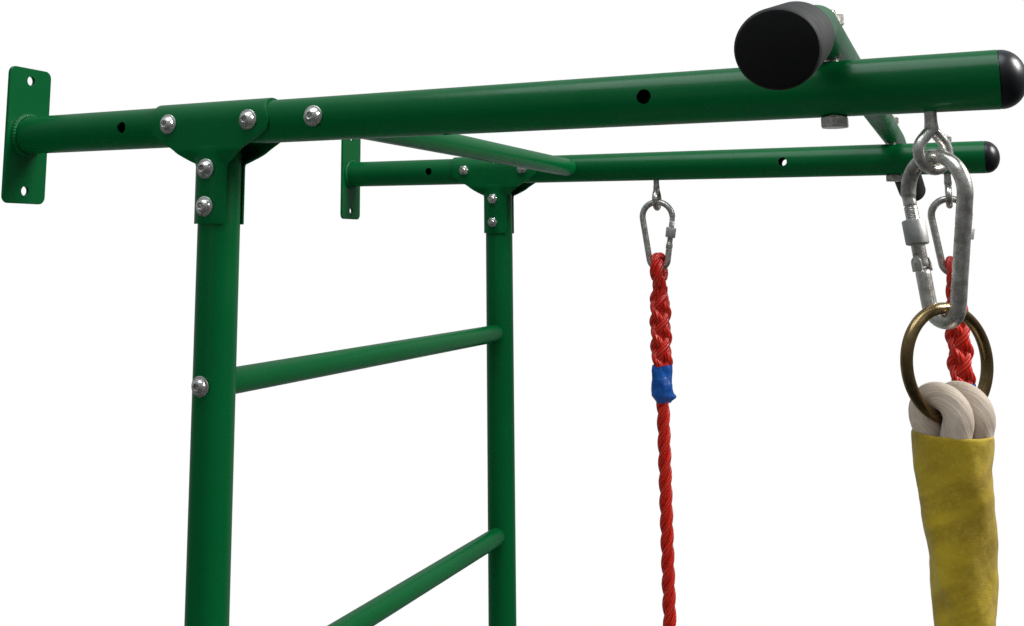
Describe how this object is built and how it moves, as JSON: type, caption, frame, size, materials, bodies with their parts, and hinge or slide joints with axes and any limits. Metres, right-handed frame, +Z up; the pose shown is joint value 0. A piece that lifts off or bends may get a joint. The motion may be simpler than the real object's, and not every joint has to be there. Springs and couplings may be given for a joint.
{
  "type": "wall bars",
  "caption": "Wall bars of round tube with rungs, two arms, a pull-up bar, a hanging climbing rope and gymnastic rings.",
  "frame": {"origin": "centre of the near wall plate's back face, on the near arm's axis", "axes": "+X away from the wall along the arms, +Y from the near arm to the far arm, +Z up"},
  "size_m": [0.9243, 1.3356, 2.313],
  "materials": {
    "green_powder_coat": "semi-gloss powder coat",
    "black_plastic": "gloss",
    "black_rubber": "matte",
    "black_foam": "matte",
    "zinc_plate": "zinc plated",
    "yellow_zinc": "dark, semi-gloss",
    "cotton_rope": "twisted cotton",
    "yellow_cloth": "woven cloth",
    "red_rope": "twisted, satin",
    "blue_tape": "satin tape",
    "ring_wood": "clear varnish"
  },
  "bodies": {
    "frame": {"cross_tube": "green_powder_coat", "far_arm": "green_powder_coat", "far_arm_bolt_1": "zinc_plate", "far_arm_bolt_2": "zinc_plate", "far_arm_cap": "black_plastic", "far_bar_bolt": "zinc_plate", "far_bar_nut": "zinc_plate", "far_cross_tube_bolt": "zinc_plate", "far_foot": "black_rubber", "far_grip": "black_foam", "far_post": "green_powder_coat", "far_post_bolt_1": "zinc_plate", "far_post_bolt_2": "zinc_plate", "far_t_bracket": "green_powder_coat", "far_wall_plate": "green_powder_coat", "inner_eye_bolt": "zinc_plate", "near_arm": "green_powder_coat", "near_arm_bolt_1": "zinc_plate", "near_arm_bolt_2": "zinc_plate", "near_arm_cap": "black_plastic", "near_bar_bolt": "zinc_plate", "near_bar_nut": "zinc_plate", "near_cross_tube_bolt": "zinc_plate", "near_eye_bolt": "zinc_plate", "near_foot": "black_rubber", "near_grip": "black_foam", "near_post": "green_powder_coat", "near_post_bolt_1": "zinc_plate", "near_post_bolt_2": "zinc_plate", "near_t_bracket": "green_powder_coat", "near_wall_plate": "green_powder_coat", "outer_eye_bolt": "zinc_plate", "pull_up_bar": "green_powder_coat", "rung_1": "green_powder_coat", "rung_2": "green_powder_coat", "rung_3": "green_powder_coat", "rung_4": "green_powder_coat", "rung_5": "green_powder_coat", "rung_6": "green_powder_coat", "rung_7": "green_powder_coat"},
    "near_hook": {"near_carabiner": "zinc_plate"},
    "near_hook_gate": {"near_gate": "zinc_plate"},
    "near_hook_sleeve": {"near_lock_sleeve": "zinc_plate"},
    "climbing_rope_hanging": {"brass_ring": "yellow_zinc", "climbing_rope": "cotton_rope", "rope_cover": "yellow_cloth"},
    "inner_hook": {"inner_carabiner": "zinc_plate"},
    "inner_hook_gate": {"inner_gate": "zinc_plate"},
    "inner_hook_sleeve": {"inner_lock_sleeve": "zinc_plate"},
    "inner_rope_hanging": {"inner_red_rope": "red_rope", "inner_rope_tape": "blue_tape"},
    "inner_ring_hanging": {"inner_gym_ring": "ring_wood"},
    "outer_hook": {"outer_carabiner": "zinc_plate"},
    "outer_hook_gate": {"outer_gate": "zinc_plate"},
    "outer_hook_sleeve": {"outer_lock_sleeve": "zinc_plate"},
    "outer_rope_hanging": {"outer_red_rope": "red_rope", "outer_rope_tape": "blue_tape"},
    "outer_ring_hanging": {"outer_gym_ring": "ring_wood"}
  },
  "joints": [
    {"name": "near_hook_swing", "type": "hinge", "parent": "frame", "child": "near_hook", "pos_m": [0.866, 0, -0.05925], "axis": [0.7193, 0.6947, 0], "range_deg": [-20, 10]},
    {"name": "near_rope_swing", "type": "hinge", "parent": "near_hook", "child": "climbing_rope_hanging", "pos_m": [0.866, 0, -0.1602], "axis": [0.7193, -0.6947, 0], "range_deg": [-20, 10]},
    {"name": "near_gate_hinge", "type": "hinge", "parent": "near_hook", "child": "near_hook_gate", "pos_m": [0.85408, 0.01151, -0.12187], "axis": [0.6947, 0.7193, 0], "range_deg": [0, 22], "stiffness_Nm_per_rad": 0.3, "springref_deg": -20.05},
    {"name": "near_sleeve_slide", "type": "slide", "parent": "near_hook_gate", "child": "near_hook_sleeve", "axis": [-0.1167, 0.1126, 0.9868], "range_m": [0, 0.0125]},
    {"name": "inner_hook_swing", "type": "hinge", "parent": "frame", "child": "inner_hook", "pos_m": [0.503, 0.692, -0.05925], "axis": [0, 1, 0], "range_deg": [-20, 12]},
    {"name": "inner_rope_swing", "type": "hinge", "parent": "inner_hook", "child": "inner_rope_hanging", "pos_m": [0.503, 0.692, -0.1423], "axis": [1, 0, 0], "range_deg": [-25, 25]},
    {"name": "inner_gate_hinge", "type": "hinge", "parent": "inner_hook", "child": "inner_hook_gate", "pos_m": [0.51859, 0.692, -0.11034], "axis": [0, -1, 0], "range_deg": [0, 22], "stiffness_Nm_per_rad": 0.3, "springref_deg": -20.05},
    {"name": "inner_sleeve_slide", "type": "slide", "parent": "inner_hook_gate", "child": "inner_hook_sleeve", "axis": [0.1379, 0, 0.9904], "range_m": [0, 0.0105]},
    {"name": "inner_ring_swing", "type": "hinge", "parent": "inner_rope_hanging", "child": "inner_ring_hanging", "pos_m": [0.503, 0.692, -0.773], "axis": [0, 1, 0], "range_deg": [-40, 40]},
    {"name": "outer_hook_swing", "type": "hinge", "parent": "frame", "child": "outer_hook", "pos_m": [0.866, 0.692, -0.05925], "axis": [0, 1, 0], "range_deg": [-45, 20]},
    {"name": "outer_rope_swing", "type": "hinge", "parent": "outer_hook", "child": "outer_rope_hanging", "pos_m": [0.866, 0.692, -0.1423], "axis": [1, 0, 0], "range_deg": [-25, 25]},
    {"name": "outer_gate_hinge", "type": "hinge", "parent": "outer_hook", "child": "outer_hook_gate", "pos_m": [0.88159, 0.692, -0.11034], "axis": [0, -1, 0], "range_deg": [0, 22], "stiffness_Nm_per_rad": 0.3, "springref_deg": -20.05},
    {"name": "outer_sleeve_slide", "type": "slide", "parent": "outer_hook_gate", "child": "outer_hook_sleeve", "axis": [0.1379, 0, 0.9904], "range_m": [0, 0.0105]},
    {"name": "outer_ring_swing", "type": "hinge", "parent": "outer_rope_hanging", "child": "outer_ring_hanging", "pos_m": [0.866, 0.692, -0.773], "axis": [0, 1, 0], "range_deg": [-40, 40]}
  ]
}
